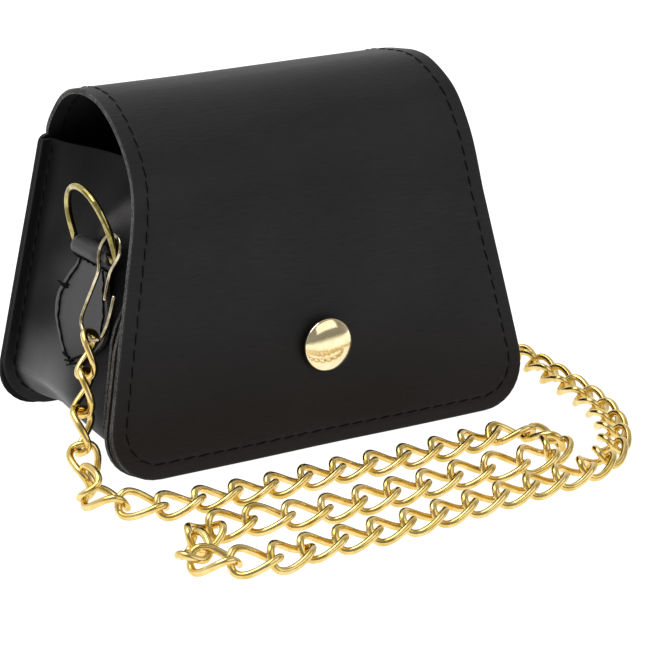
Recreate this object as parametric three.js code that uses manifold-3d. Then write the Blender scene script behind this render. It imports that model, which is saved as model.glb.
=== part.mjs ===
// Small crossbody bag of black leather cloth: a wedge body that is closed by a
// long front flap and a ring snap, and a gilt curb chain that is clipped to a
// D-ring on each side. Millimetres, +Z up, front towards -Y.
// Origin: under the middle of the whole object, on the surface it stands on.

import * as THREE from "three";
import { mergeVertices } from "three/addons/utils/BufferGeometryUtils.js";
import Module from "manifold-3d";

const wasm = await Module();
wasm.setup();

// ---------------------------------------------------------------- dimensions

const gap = 0.3; // running clearance between neighbouring pieces
const leather = 1.6; // panels and flap
const lining = 1.4; // gusset strip, thinner so that it folds

// front and back are tapered sheets with rounded lower corners
const flapSheet = { half: 75.0, taper: 0.209, corner: 14, foot: -37.9, lean: 0.132, bottom: 0.4 };
const frontSheet = { half: 74.4, taper: 0.209, corner: 14, foot: -33.5, lean: 0.132, bottom: 0, top: 82 };
const backSheet = { half: 74.0, taper: 0.194, corner: 14, foot: 42.6, lean: -0.054, bottom: 0, top: 86.8 };
const flapNeck = 54.9; // half width of the flap where it leaves the back

// gusset: one strip, down one side, under the bag and up the other
const flange = 6.0; // turned-out edge that is sewn to the panels
const gussetTop = 85.5;
const gussetFold = { depth: 9.0, start: 58 }; // the mouth of each side folds inwards

// ring snap through flap and front panel
const snap = { x: 0.5, z: 31, capRadius: 8.2, capHeight: 3.8, post: 1.6, hole: 2.0 };

// D-ring, its leather tab and the spring-wire clip, one set on each side
const ring = { wire: 1.1, halfWidth: 13.5, height: 21, y: -4, lean: 14 };
const tab = { z: 60.3, rollOuter: 2.8, rollInner: 1.4, rollBack: 7.0, rollFront: -7.8, thick: 1.6 };
const clipWire = 0.6;

// curb chain
const link = { wire: 1.08, pitch: 11.2, width: 8.7, twist: -95, squareness: 2.8, touch: 0.15, play: 0.35 };

// ------------------------------------------------------------------- colours

const blackLeather = new THREE.MeshStandardMaterial({ color: 0x1d1a1c, roughness: 0.55, metalness: 0 });
const yellowGilt = new THREE.MeshStandardMaterial({ color: 0xd9a428, roughness: 0.22, metalness: 1 });
const paleGilt = new THREE.MeshStandardMaterial({ color: 0xdccb8a, roughness: 0.18, metalness: 1 });
const steel = new THREE.MeshStandardMaterial({ color: 0xa8a7a0, roughness: 0.3, metalness: 1 });

// ------------------------------------------------------------- mesh building

const bag = new THREE.Group();

function add(name, geometry, material) {
  const mesh = new THREE.Mesh(geometry, material);
  mesh.name = name;
  bag.add(mesh);
  return mesh;
}

function geometryFrom(points, triangles) {
  const geometry = new THREE.BufferGeometry();
  geometry.setAttribute("position", new THREE.Float32BufferAttribute(points.flatMap((p) => [p.x, p.y, p.z]), 3));
  geometry.setIndex(triangles);
  return geometry;
}

function toSolid(geometry) {
  const bare = geometry.clone();
  bare.deleteAttribute("normal");
  bare.deleteAttribute("uv");
  const merged = mergeVertices(bare, 1e-4);
  return new wasm.Manifold(
    new wasm.Mesh({
      numProp: 3,
      vertProperties: Float32Array.from(merged.attributes.position.array),
      triVerts: Uint32Array.from(merged.index.array),
    }),
  );
}

function fromSolid(solid) {
  const mesh = solid.getMesh();
  const geometry = new THREE.BufferGeometry();
  geometry.setAttribute("position", new THREE.Float32BufferAttribute(mesh.vertProperties, 3));
  geometry.setIndex(Array.from(mesh.triVerts));
  return geometry;
}

// A grid of rings that closes on itself around each ring. Rows are capped at
// both ends, or joined end to start when the tube is a loop.
function ringsToGeometry(rings, loop) {
  const sides = rings[0].length;
  const triangles = [];
  const last = loop ? rings.length : rings.length - 1;
  for (let i = 0; i < last; i++) {
    for (let j = 0; j < sides; j++) {
      const a = i * sides + j;
      const b = i * sides + ((j + 1) % sides);
      const c = ((i + 1) % rings.length) * sides + ((j + 1) % sides);
      const d = ((i + 1) % rings.length) * sides + j;
      triangles.push(a, b, c, a, c, d);
    }
  }
  if (!loop) {
    const flat = rings[0].map((p) => p.clone());
    const end = (rings.length - 1) * sides;
    for (const [p, q, r] of capTriangles(flat)) {
      triangles.push(p, r, q);
      triangles.push(end + p, end + q, end + r);
    }
  }
  return facingOut(geometryFrom(rings.flat(), triangles));
}

// Triangles of a ring that is a flat outline seen along its own normal.
function capTriangles(ringPoints) {
  const normal = new THREE.Vector3();
  ringPoints.forEach((p, i) => {
    const q = ringPoints[(i + 1) % ringPoints.length];
    normal.x += (p.y - q.y) * (p.z + q.z);
    normal.y += (p.z - q.z) * (p.x + q.x);
    normal.z += (p.x - q.x) * (p.y + q.y);
  });
  const turn = new THREE.Quaternion().setFromUnitVectors(normal.normalize(), new THREE.Vector3(0, 0, 1));
  const flat = ringPoints.map((p) => p.clone().applyQuaternion(turn)).map((p) => new THREE.Vector2(p.x, p.y));
  return THREE.ShapeUtils.triangulateShape(flat, []);
}

function signedVolume(geometry) {
  const p = geometry.attributes.position;
  const index = geometry.index.array;
  const [a, b, c] = [new THREE.Vector3(), new THREE.Vector3(), new THREE.Vector3()];
  let volume = 0;
  for (let i = 0; i < index.length; i += 3) {
    a.fromBufferAttribute(p, index[i]);
    b.fromBufferAttribute(p, index[i + 1]);
    c.fromBufferAttribute(p, index[i + 2]);
    volume += a.dot(b.cross(c)) / 6;
  }
  return volume;
}

function facingOut(geometry) {
  if (signedVolume(geometry) < 0) {
    const index = geometry.index.array;
    for (let i = 0; i < index.length; i += 3) [index[i + 1], index[i + 2]] = [index[i + 2], index[i + 1]];
  }
  return geometry;
}

// The same piece on the other side of the bag.
function mirrored(geometry) {
  const other = geometry.clone();
  other.scale(-1, 1, 1);
  if (!other.index) return facingOut(mergeVertices(bareCopy(other), 1e-4));
  return facingOut(other);
}

function bareCopy(geometry) {
  const bare = geometry.clone();
  bare.deleteAttribute("normal");
  bare.deleteAttribute("uv");
  return bare;
}

// ---------------------------------------------------------------- bag shapes

// Half width of a sheet at height z, drawn in at its rounded lower corners.
function halfWidth(sheet, z) {
  const rise = z - sheet.bottom;
  const straight = sheet.half - sheet.taper * rise;
  if (rise >= sheet.corner) return straight;
  const left = sheet.corner - rise;
  return straight - sheet.corner + Math.sqrt(sheet.corner ** 2 - left ** 2);
}

// Heights at which a sheet gets a row: close together round its lower corner.
function cornerHeights(sheet, steps) {
  const heights = [];
  for (let i = 0; i <= steps; i++) {
    heights.push(sheet.bottom + sheet.corner * (1 - Math.cos((i / steps) * (Math.PI / 2))));
  }
  return heights;
}

const facePlane = (sheet, z) => sheet.foot + sheet.lean * z;

// Bend of the flap over the top, as seen from the side: the outer face at the
// left edge and at the right edge, which stands fuller.
const bend = [
  { leftY: 37.6, leftZ: 88.2, rightY: 37.6, rightZ: 88.4, half: flapNeck },
  { leftY: 36.0, leftZ: 91.4, rightY: 36.0, rightZ: 92.3, half: 54.8 },
  { leftY: 33.0, leftZ: 95.3, rightY: 33.0, rightZ: 97.0, half: 54.6 },
  { leftY: 28.4, leftZ: 99.8, rightY: 28.2, rightZ: 101.4, half: 54.5 },
  { leftY: 22.3, leftZ: 103.1, rightY: 22.0, rightZ: 104.4, half: 54.5 },
  { leftY: 15.2, leftZ: 104.6, rightY: 15.2, rightZ: 106.0, half: 54.6 },
  { leftY: 8.9, leftZ: 104.7, rightY: 8.5, rightZ: 107.0, half: 54.7 },
  { leftY: 2.6, leftZ: 103.7, rightY: 1.6, rightZ: 107.7, half: 54.9 },
  { leftY: -4.6, leftZ: 100.8, rightY: -5.4, rightZ: 106.9, half: 55.2 },
  { leftY: -11.3, leftZ: 96.6, rightY: -12.4, rightZ: 103.8, half: 55.7 },
  { leftY: -17.6, leftZ: 91.6, rightY: -18.2, rightZ: 99.4, half: 56.4 },
  { leftY: -23.0, leftZ: 85.4, rightY: -22.2, rightZ: 93.0, half: 57.4 },
  { leftY: -26.8, leftZ: 78.4, rightY: -25.6, rightZ: 83.8, half: 58.8 },
];

// Closed sheet of constant thickness from rows of its outer face, each a pair
// of end points; `across` is the number of strips over the width.
function sheetGeometry(rows, across, thickness) {
  const outer = rows.map((row) => {
    const points = [];
    for (let j = 0; j <= across; j++) points.push(row.left.clone().lerp(row.right, j / across));
    return points;
  });
  const inner = outer.map((points, i) =>
    points.map((p, j) => {
      const before = outer[Math.max(i - 1, 0)][j];
      const after = outer[Math.min(i + 1, outer.length - 1)][j];
      const run = after.clone().sub(before);
      const inwards = new THREE.Vector3(0, -run.z, run.y).normalize();
      return p.clone().addScaledVector(inwards, thickness);
    }),
  );
  const rings = outer.map((points, i) => [...points, ...inner[i].slice().reverse()]);
  const sides = rings[0].length;
  const triangles = [];
  for (let i = 0; i + 1 < rings.length; i++) {
    for (let j = 0; j < sides; j++) {
      const a = i * sides + j;
      const b = i * sides + ((j + 1) % sides);
      triangles.push(a, b, b + sides, a, b + sides, a + sides);
    }
  }
  for (const base of [0, (rings.length - 1) * sides]) {
    for (let j = 0; j < across; j++) {
      const a = base + j;
      const b = base + sides - 1 - j;
      const quad = [a, a + 1, b - 1, a, b - 1, b];
      triangles.push(...(base === 0 ? [quad[0], quad[2], quad[1], quad[3], quad[5], quad[4]] : quad));
    }
  }
  return facingOut(geometryFrom(rings.flat(), triangles));
}

const levelRow = (half, y, z) => ({ left: new THREE.Vector3(-half, y, z), right: new THREE.Vector3(half, y, z) });

function backAndFlap() {
  const rows = [];
  for (const z of [...cornerHeights(backSheet, 5), 50, backSheet.top]) {
    rows.push(levelRow(halfWidth(backSheet, z), facePlane(backSheet, z), z));
  }
  for (const b of bend) {
    const left = new THREE.Vector3(-b.half, b.leftY, b.leftZ);
    const right = new THREE.Vector3(b.half, b.rightY, b.rightZ);
    rows.push({ left, right });
  }
  for (const z of [70, 45, ...cornerHeights(flapSheet, 5).reverse()]) {
    rows.push(levelRow(halfWidth(flapSheet, z), facePlane(flapSheet, z), z));
  }
  return sheetGeometry(rows, 4, leather);
}

function frontPanel() {
  const rows = [];
  for (const z of [frontSheet.top, 45, ...cornerHeights(frontSheet, 5).reverse()]) {
    rows.push(levelRow(halfWidth(frontSheet, z), facePlane(frontSheet, z), z));
  }
  return sheetGeometry(rows, 2, leather);
}

// ------------------------------------------------------------------- gusset

// Point and inward direction on the outline of the gusset, `along` running
// from the top of the left side (0) under the bag to the top of the right (1).
function gussetStations() {
  const { half, taper, corner } = backSheet;
  const slope = Math.atan(taper);
  const top = gussetTop;
  const stations = [];
  const side = (sign) => {
    const rows = [];
    for (const z of [top, 79, 72, 65, 58, 40, 26]) {
      rows.push({ x: sign * (half - taper * z), z, inX: -sign * Math.cos(slope), inZ: 0 });
    }
    return rows;
  };
  const turn = (sign) => {
    const rows = [];
    const cx = sign * (half - taper * corner - corner);
    for (let i = 0; i <= 4; i++) {
      const a = (i / 4) * (Math.PI / 2);
      rows.push({
        x: cx + sign * corner * Math.cos(a),
        z: corner - corner * Math.sin(a),
        inX: -sign * Math.cos(a),
        inZ: Math.sin(a),
      });
    }
    return rows;
  };
  stations.push(...side(-1), ...turn(-1), ...turn(1).reverse(), ...side(1).reverse());
  return stations;
}

// How far the side of the gusset is folded in, at height z and at `t` between
// its front edge (-1) and its back edge (1).
function foldIn(z, t) {
  const rise = THREE.MathUtils.smoothstep(z, gussetFold.start, gussetTop + 6);
  return gussetFold.depth * rise * (1 - t * t);
}

function gusset() {
  const across = 6;
  const rings = gussetStations().map((s) => {
    const front = frontSheet.foot + leather + gap;
    const back = backSheet.foot - leather - gap;
    const at = (inset, y) => new THREE.Vector3(s.x + s.inX * inset, y, s.z + s.inZ * inset);
    const frontAt = (inset, depth) => {
      const p = at(inset, 0);
      p.y = front + frontSheet.lean * p.z + depth;
      return p;
    };
    const backAt = (inset, depth) => {
      const p = at(inset, 0);
      p.y = back + backSheet.lean * p.z - depth;
      return p;
    };
    const web = (inset, from, to) => {
      const points = [];
      for (let k = 1; k < across; k++) {
        const t = (2 * k) / across - 1;
        const p = from.clone().lerp(to, k / across);
        const folded = at(inset + foldIn(p.z, t), p.y);
        points.push(folded);
      }
      return points;
    };
    const outer = [frontAt(flange, lining), backAt(flange, lining)];
    const inner = [frontAt(flange + lining, 0), backAt(flange + lining, 0)];
    return [
      frontAt(0, 0),
      frontAt(0, lining),
      outer[0],
      ...web(flange, outer[0], outer[1]),
      outer[1],
      backAt(0, lining),
      backAt(0, 0),
      inner[1],
      ...web(flange + lining, inner[0], inner[1]).reverse(),
      inner[0],
    ];
  });
  return ringsToGeometry(rings, false);
}

// ------------------------------------------------------------ tab and D-ring

// Frame of the left side of the gusset at the tab: u towards the back, v up
// along the leather, w straight outwards.
const sideSlope = Math.atan(backSheet.taper);
const sideFoot = backSheet.half - backSheet.taper * tab.z - flange * Math.cos(sideSlope);

function onLeftSide(u, v, w) {
  return new THREE.Vector3(
    -sideFoot + v * Math.sin(sideSlope) - w * Math.cos(sideSlope),
    u,
    tab.z + v * Math.cos(sideSlope),
  );
}

// Outline of the sewn leaf of the tab, from under the roll down to its point.
const leaf = [
  { v: 0.5, back: 6.9, front: -7.7 },
  { v: -6, back: 10.0, front: -7.8 },
  { v: -11, back: 14.3, front: -9.0 },
  { v: -18, back: 18.3, front: -11.5 },
  { v: -25, back: 17.3, front: -11.0 },
  { v: -31, back: 10.5, front: -5.5 },
  { v: -36, back: 2.4, front: -2.0 },
];

function leatherTab() {
  const rings = leaf.map((row) => [
    onLeftSide(row.front, row.v, gap),
    onLeftSide(row.back, row.v, gap),
    onLeftSide(row.back, row.v, gap + tab.thick),
    onLeftSide(row.front, row.v, gap + tab.thick),
  ]);
  const plate = toSolid(ringsToGeometry(rings, false));
  const roll = toSolid(rollAlongBar(tab.rollOuter, tab.rollFront, tab.rollBack, 14));
  const bore = toSolid(rollAlongBar(tab.rollInner, tab.rollFront - 1, tab.rollBack + 1, 12));
  return fromSolid(plate.add(roll).subtract(bore));
}

const barOffset = gap + tab.rollOuter;

// Round bar along y about the hinge line of the D-ring.
function rollAlongBar(radius, from, to, sides) {
  const centre = onLeftSide(0, 0, barOffset);
  const rings = [from, to].map((y) => {
    const points = [];
    for (let i = 0; i < sides; i++) {
      const a = ((i + 0.5) / sides) * 2 * Math.PI;
      points.push(new THREE.Vector3(centre.x + radius * Math.cos(a), y, centre.z + radius * Math.sin(a)));
    }
    return points;
  });
  return ringsToGeometry(rings, false);
}

// Round wire bent into a closed loop through `points`; `facing` gives each
// point a direction that is not along the wire.
function loopOfWire(points, facing, radius, sides) {
  const n = points.length;
  const rings = points.map((p, i) => {
    const along = points[(i + 1) % n].clone().sub(points[(i + n - 1) % n]).normalize();
    const across = facing[i].clone().addScaledVector(along, -facing[i].dot(along)).normalize();
    const third = along.clone().cross(across);
    const ringPoints = [];
    for (let k = 0; k < sides; k++) {
      const a = ((k + 0.5) / sides) * 2 * Math.PI;
      ringPoints.push(
        p.clone().addScaledVector(across, radius * Math.cos(a)).addScaledVector(third, radius * Math.sin(a)),
      );
    }
    return ringPoints;
  });
  return ringsToGeometry(rings, true);
}

// The D-ring's outline in its own plane: a straight bar with rounded corners,
// two short legs and an arch.
function dRing() {
  const { halfWidth: w, height, wire } = ring;
  const legTop = 6;
  const foot = 1.6;
  const outline = [[-w + foot, 0], [w - foot, 0], [w, foot], [w, legTop]];
  for (let i = 1; i < 10; i++) {
    const a = (i / 10) * Math.PI;
    outline.push([w * Math.cos(a), legTop + (height - legTop) * Math.sin(a)]);
  }
  outline.push([-w, legTop], [-w, foot]);
  const centre = onLeftSide(0, 0, barOffset);
  const lean = THREE.MathUtils.degToRad(ring.lean);
  const points = outline.map(
    ([u, v]) => new THREE.Vector3(centre.x - v * Math.sin(lean), ring.y + u, centre.z + v * Math.cos(lean)),
  );
  const normal = new THREE.Vector3(-Math.cos(lean), 0, -Math.sin(lean));
  return loopOfWire(points, points.map(() => normal), wire, 8);
}

// Spring-wire clip: y and z of its bends, from the free end that is hooked
// inside to the free end that springs past it.
const clipBends = [
  { y: -17.6, z: 50.2 },
  { y: -17.3, z: 54.0 },
  { y: -17.6, z: 58.4 },
  { y: -20.2, z: 63.0 },
  { y: -20.5, z: 65.4 },
  { y: -19.0, z: 67.6 },
  { y: -15.4, z: 68.4 },
  { y: -11.3, z: 67.0 },
  { y: -8.9, z: 63.4 },
  { y: -9.2, z: 60.2 },
  { y: -10.6, z: 57.0 },
  { y: -9.4, z: 52.4 },
  { y: -7.6, z: 47.0 },
  { y: -6.4, z: 42.6 },
  { y: -7.6, z: 39.9 },
  { y: -11.0, z: 38.3 },
  { y: -15.5, z: 38.0 },
  { y: -19.6, z: 39.8 },
  { y: -21.6, z: 43.5 },
  { y: -22.3, z: 48.0 },
  { y: -22.4, z: 53.0 },
];
const clipPlane = { topX: -59.3, topZ: 68.4, bottomX: -67.0, bottomZ: 38.0 };

function clipPoint({ y, z }) {
  const t = (clipPlane.topZ - z) / (clipPlane.topZ - clipPlane.bottomZ);
  return new THREE.Vector3(THREE.MathUtils.lerp(clipPlane.topX, clipPlane.bottomX, t), y, z);
}

function wireClip() {
  const path = new THREE.CatmullRomCurve3(clipBends.map(clipPoint), false, "centripetal");
  const section = new THREE.Shape();
  const sides = 6;
  for (let i = 0; i < sides; i++) {
    const a = (i / sides) * 2 * Math.PI;
    if (i === 0) section.moveTo(clipWire * Math.cos(a), clipWire * Math.sin(a));
    else section.lineTo(clipWire * Math.cos(a), clipWire * Math.sin(a));
  }
  section.closePath();
  const wire = new THREE.ExtrudeGeometry(section, { steps: 44, bevelEnabled: false, extrudePath: path });
  return facingOut(mergeVertices(bareCopy(wire), 1e-4));
}

// ---------------------------------------------------------------------- snap

const snapTilt = Math.atan(flapSheet.lean);

// Turned part on the axis of the snap; its profile is (radius, height) with
// the height measured outwards from the outer face of the flap.
function turned(profile, sides) {
  const lathe = new THREE.LatheGeometry(profile.map(([r, h]) => new THREE.Vector2(r, h)), sides);
  const part = mergeVertices(bareCopy(lathe), 1e-4);
  const kept = [];
  const index = part.index.array;
  for (let i = 0; i < index.length; i += 3) {
    const [a, b, c] = [index[i], index[i + 1], index[i + 2]];
    if (a !== b && b !== c && c !== a) kept.push(a, b, c);
  }
  part.setIndex(kept);
  part.rotateX(Math.PI - snapTilt);
  part.translate(snap.x, facePlane(flapSheet, snap.z), snap.z);
  return facingOut(part);
}

const socketHeight = 1.3;
const sheetStep = flapSheet.foot - frontSheet.foot; // from the flap's face to the front panel's face
const stack = {
  socketTop: -(leather + gap),
  socketBottom: -(leather + gap + socketHeight),
  studTop: -(leather + gap + socketHeight + gap),
  studBottom: sheetStep * Math.cos(snapTilt) + gap,
  panelBack: sheetStep * Math.cos(snapTilt) - leather,
};

function snapCap() {
  const { capRadius: r, capHeight: h, post } = snap;
  return turned(
    [
      [0, stack.socketBottom],
      [post, stack.socketBottom],
      [post, gap],
      [r - 1.0, gap],
      [r, gap + 0.6],
      [r, gap + 1.3],
      [r - 0.8, gap + 1.9],
      [r * 0.66, h * 0.8],
      [r * 0.34, h * 0.96],
      [0, h],
    ],
    24,
  );
}

function snapSocket() {
  const hole = snap.post + gap;
  return turned(
    [
      [hole, stack.socketTop],
      [5.8, stack.socketTop],
      [6.2, stack.socketTop - 0.4],
      [6.2, stack.socketBottom],
      [hole, stack.socketBottom],
      [hole, stack.socketTop],
    ],
    20,
  );
}

function snapStud() {
  return turned(
    [
      [0, stack.panelBack - gap - 0.8],
      [snap.post, stack.panelBack - gap - 0.8],
      [snap.post, stack.studBottom],
      [5.4, stack.studBottom],
      [5.4, stack.studTop],
      [0, stack.studTop],
    ],
    20,
  );
}

function snapEyelet() {
  const hole = snap.post + gap;
  const top = stack.panelBack - gap;
  return turned(
    [
      [hole, top],
      [4.6, top],
      [4.6, top - 0.5],
      [4.2, top - 0.8],
      [hole, top - 0.8],
      [hole, top],
    ],
    20,
  );
}

const snapHole = () => toSolid(turned([[0, -8], [snap.hole, -8], [snap.hole, 2], [0, 2]], 12));

// --------------------------------------------------------------------- chain

// Route of the chain, chosen by hand: from the left clip to the surface, three
// runs in front of the bag, round its right side and up to the right clip.
// x, y, z lie on the axis of the chain. `lean` turns its broad face from
// upwards (0) to sideways, `roll` twists it about the axis, both in degrees.
const route = [
  { x: -67.0, y: -13.6, z: 38.9, lean: -90, roll: 20 },
  { x: -72.0, y: -19.3, z: 25.1, lean: -80, roll: 15 },
  { x: -75.6, y: -24.4, z: 17.6, lean: -80, roll: 15 },
  { x: -77.4, y: -27.0, z: 14.2, lean: -80, roll: 25 },
  { x: -78.7, y: -34.2, z: 3.7, lean: -68, roll: 125 },
  { x: -84.5, y: -46.4, z: 3.6, lean: 0, roll: -10 },
  { x: -80.6, y: -50.7, z: 5.1, lean: 45, roll: 32 },
  { x: -77.2, y: -60.8, z: 3.6, lean: 20, roll: 30 },
  { x: -60.0, y: -63.7, z: 3.6, lean: 0, roll: 0 },
  { x: -38.0, y: -65.4, z: 3.6, lean: 0, roll: 0 },
  { x: -15.0, y: -64.8, z: 3.6, lean: 0, roll: 0 },
  { x: 8.0, y: -65.6, z: 3.6, lean: 0, roll: 0 },
  { x: 30.0, y: -64.8, z: 3.6, lean: 0, roll: 0 },
  { x: 43.2, y: -63.0, z: 3.7, lean: 35, roll: -10 },
  { x: 51.2, y: -67.9, z: 3.9, lean: 5, roll: 15 },
  { x: 54.3, y: -80.0, z: 3.6, lean: 25, roll: -20 },
  { x: 48.9, y: -84.8, z: 3.6, lean: 10, roll: -10 },
  { x: 37.5, y: -88.2, z: 3.6, lean: 20, roll: -30 },
  { x: 19.3, y: -85.6, z: 3.6, lean: -5, roll: -12 },
  { x: 8.0, y: -86.2, z: 3.6, lean: 0, roll: -12 },
  { x: -15.0, y: -87.4, z: 3.6, lean: 0, roll: -12 },
  { x: -38.0, y: -87.8, z: 3.6, lean: 0, roll: -10 },
  { x: -63.2, y: -83.5, z: 3.8, lean: -10, roll: -25 },
  { x: -71.2, y: -89.9, z: 3.6, lean: 75, roll: -25 },
  { x: -76.7, y: -90.7, z: 3.6, lean: -50, roll: -25 },
  { x: -81.5, y: -97.7, z: 3.7, lean: -85, roll: -10 },
  { x: -75.2, y: -108.2, z: 4.9, lean: 70, roll: 35 },
  { x: -65.2, y: -112.5, z: 4.8, lean: 60, roll: 35 },
  { x: -54.3, y: -109.8, z: 4.3, lean: -65, roll: 15 },
  { x: -24.0, y: -108.2, z: 3.6, lean: 0, roll: 3 },
  { x: 6.0, y: -105.4, z: 3.6, lean: 0, roll: 3 },
  { x: 34.0, y: -102.8, z: 3.6, lean: 0, roll: 3 },
  { x: 48.0, y: -100.8, z: 3.6, lean: 0, roll: 3 },
  { x: 62.0, y: -94.0, z: 3.6, lean: 0, roll: 0 },
  { x: 73.5, y: -81.5, z: 3.6, lean: 0, roll: 0 },
  { x: 81.5, y: -67.0, z: 3.6, lean: 0, roll: 0 },
  { x: 86.5, y: -51.0, z: 3.6, lean: 0, roll: 0 },
  { x: 89.8, y: -30.0, z: 3.6, lean: 0, roll: 0 },
  { x: 92.8, y: -9.8, z: 3.7, lean: -15, roll: 35 },
  { x: 92.0, y: 2.9, z: 3.6, lean: 0, roll: 35 },
  { x: 88.2, y: 13.8, z: 3.6, lean: 25, roll: -20 },
  { x: 79.5, y: 9.9, z: 12.5, lean: 65, roll: 40 },
  { x: 72.6, y: -3.0, z: 22.8, lean: 90, roll: 0 },
  { x: 67.0, y: -13.6, z: 38.9, lean: 90, roll: -20 },
];

// The links are joined into solids stretch by stretch; each stretch hangs in
// the last link of the one before it.
const stretches = [
  { name: "chain_hanging_left", links: 3 },
  { name: "chain_first_turn", links: 4 },
  { name: "chain_run_1_left", links: 5 },
  { name: "chain_run_1_right", links: 5 },
  { name: "chain_right_turn", links: 3 },
  { name: "chain_run_2_right", links: 5 },
  { name: "chain_run_2_left", links: 5 },
  { name: "chain_left_turn", links: 4 },
  { name: "chain_run_3_left", links: 5 },
  { name: "chain_run_3_right", links: 5 },
  { name: "chain_bend_front", links: 4 },
  { name: "chain_bend_side", links: 4 },
  { name: "chain_bend_back", links: 3 },
  { name: "chain_hanging_right", links: 5 },
];

// The axis as a fine polyline of rows { x, y, z, lean, roll }.
function routeAxis() {
  const fine = 24;
  const keys = ["x", "y", "z", "lean", "roll"];
  const at = (i) => route[THREE.MathUtils.clamp(i, 0, route.length - 1)];
  const rows = [];
  for (let i = 0; i + 1 < route.length; i++) {
    for (let k = 0; k < fine; k++) {
      const t = k / fine;
      const row = {};
      for (const key of keys) {
        const [a, b, c, d] = [at(i - 1)[key], at(i)[key], at(i + 1)[key], at(i + 2)[key]];
        const [p, q, r] = [c - a, 2 * a - 5 * b + 4 * c - d, 3 * b - a - 3 * c + d];
        row[key] = b + 0.5 * t * (p + t * (q + t * r));
      }
      rows.push(row);
    }
  }
  rows.push(route[route.length - 1]);
  return rows;
}

// Reads the axis at a distance along it, and finds how far along it lies the
// point that is one pitch away in a straight line.
function axisReader(rows) {
  const distance = (a, b) => Math.hypot(a.x - b.x, a.y - b.y, a.z - b.z);
  const along = [0];
  for (let i = 1; i < rows.length; i++) along.push(along[i - 1] + distance(rows[i - 1], rows[i]));
  const at = (s) => {
    let i = along.findIndex((value) => value > s) - 1;
    if (i < 0) i = rows.length - 2;
    const t = (s - along[i]) / (along[i + 1] - along[i]);
    const row = {};
    for (const key of Object.keys(rows[i])) row[key] = rows[i][key] + (rows[i + 1][key] - rows[i][key]) * t;
    return row;
  };
  const reach = (s, chord) => {
    const start = at(s);
    let [low, high] = [s + chord, s + 2 * chord];
    for (let k = 0; k < 30; k++) {
      const mid = (low + high) / 2;
      if (distance(start, at(mid)) < chord) low = mid;
      else high = mid;
    }
    return low;
  };
  return { at, reach };
}

function linkFrame(from, to) {
  const a = new THREE.Vector3(from.x, from.y, from.z);
  const b = new THREE.Vector3(to.x, to.y, to.z);
  const along = b.clone().sub(a).normalize();
  const lean = THREE.MathUtils.degToRad((from.lean + to.lean) / 2);
  const roll = THREE.MathUtils.degToRad((from.roll + to.roll) / 2);
  const face = new THREE.Vector3(Math.sin(lean), 0, Math.cos(lean));
  face.addScaledVector(along, -face.dot(along)).normalize();
  const side = along.clone().cross(face);
  const up = face.clone().multiplyScalar(Math.cos(roll)).addScaledVector(side, Math.sin(roll));
  return { centre: a.add(b).multiplyScalar(0.5), along, up, side: along.clone().cross(up) };
}

// Centre line of one link: an oval, twisted so that its ends stand crosswise.
function linkOutline({ centre, along, up, side }, steps) {
  const halfLength = link.pitch / 2 + link.wire;
  const halfWide = link.width / 2;
  const power = (value) => Math.sign(value) * Math.abs(value) ** (2 / link.squareness);
  const points = [];
  const facing = [];
  for (let i = 0; i < steps; i++) {
    const a = (i / steps) * 2 * Math.PI;
    const x = halfLength * power(Math.cos(a));
    const y = halfWide * power(Math.sin(a));
    const twist = (-THREE.MathUtils.degToRad(link.twist) / 2) * (x / halfLength);
    const spread = side.clone().multiplyScalar(Math.cos(twist)).addScaledVector(up, Math.sin(twist));
    points.push(centre.clone().addScaledVector(along, x).addScaledVector(spread, y));
    facing.push(spread.clone().multiplyScalar(Math.sin(a)).addScaledVector(along, Math.cos(a)));
  }
  const lowest = Math.min(...points.map((p) => p.z)) - link.wire;
  const lift = Math.max(0, 0.02 - lowest);
  for (const p of points) p.z += lift;
  return { points, facing };
}

// Frames of all links in order. Neighbours in one solid are drawn apart until
// they touch, neighbours in two solids keep a gap.
function placeLinks() {
  const { at, reach } = axisReader(routeAxis());
  const frames = [];
  let s = 0;
  for (const stretch of stretches) {
    for (let i = 0; i < stretch.links; i++) {
      const end = reach(s, link.pitch);
      frames.push(linkFrame(at(s), at(end)));
      s = end + (i + 1 < stretch.links ? link.touch : -link.play);
    }
  }
  return frames;
}

function addChain() {
  const frames = placeLinks();
  for (const stretch of stretches) {
    let solid = null;
    for (const frame of frames.splice(0, stretch.links)) {
      const { points, facing } = linkOutline(frame, 14);
      const one = toSolid(loopOfWire(points, facing, link.wire, 5));
      solid = solid ? solid.add(one) : one;
    }
    add(stretch.name, fromSolid(solid), yellowGilt);
  }
}

// ------------------------------------------------------------------ assembly

add("back_and_flap", fromSolid(toSolid(backAndFlap()).subtract(snapHole())), blackLeather);
add("front_panel", fromSolid(toSolid(frontPanel()).subtract(snapHole())), blackLeather);
add("gusset", gusset(), blackLeather);

add("tab_left", leatherTab(), blackLeather);
add("tab_right", mirrored(leatherTab()), blackLeather);
add("d_ring_left", dRing(), yellowGilt);
add("d_ring_right", mirrored(dRing()), yellowGilt);
add("clip_left", wireClip(), paleGilt);
add("clip_right", mirrored(wireClip()), paleGilt);

add("snap_cap", snapCap(), paleGilt);
add("snap_socket", snapSocket(), steel);
add("snap_stud", snapStud(), steel);
add("snap_eyelet", snapEyelet(), steel);

addChain();

// origin under the middle of the whole object
const bounds = new THREE.Box3().setFromObject(bag);
const middle = bounds.getCenter(new THREE.Vector3());
bag.position.set(-middle.x, -middle.y, -bounds.min.z);

export default bag;
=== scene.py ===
# Small crossbody bag of black leather cloth: a wedge body closed by a long front flap
# and a ring snap, and a gilt curb chain clipped to a D-ring on each side.
# Each piece is drawn in millimetres in the bag's own frame, with the front towards -Y
# and the foot of the bag at z 0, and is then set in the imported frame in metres.
import math
from bisect import bisect

import bmesh
import bpy
from mathutils import Matrix, Quaternion, Vector, noise
from mathutils.bvhtree import BVHTree


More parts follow.
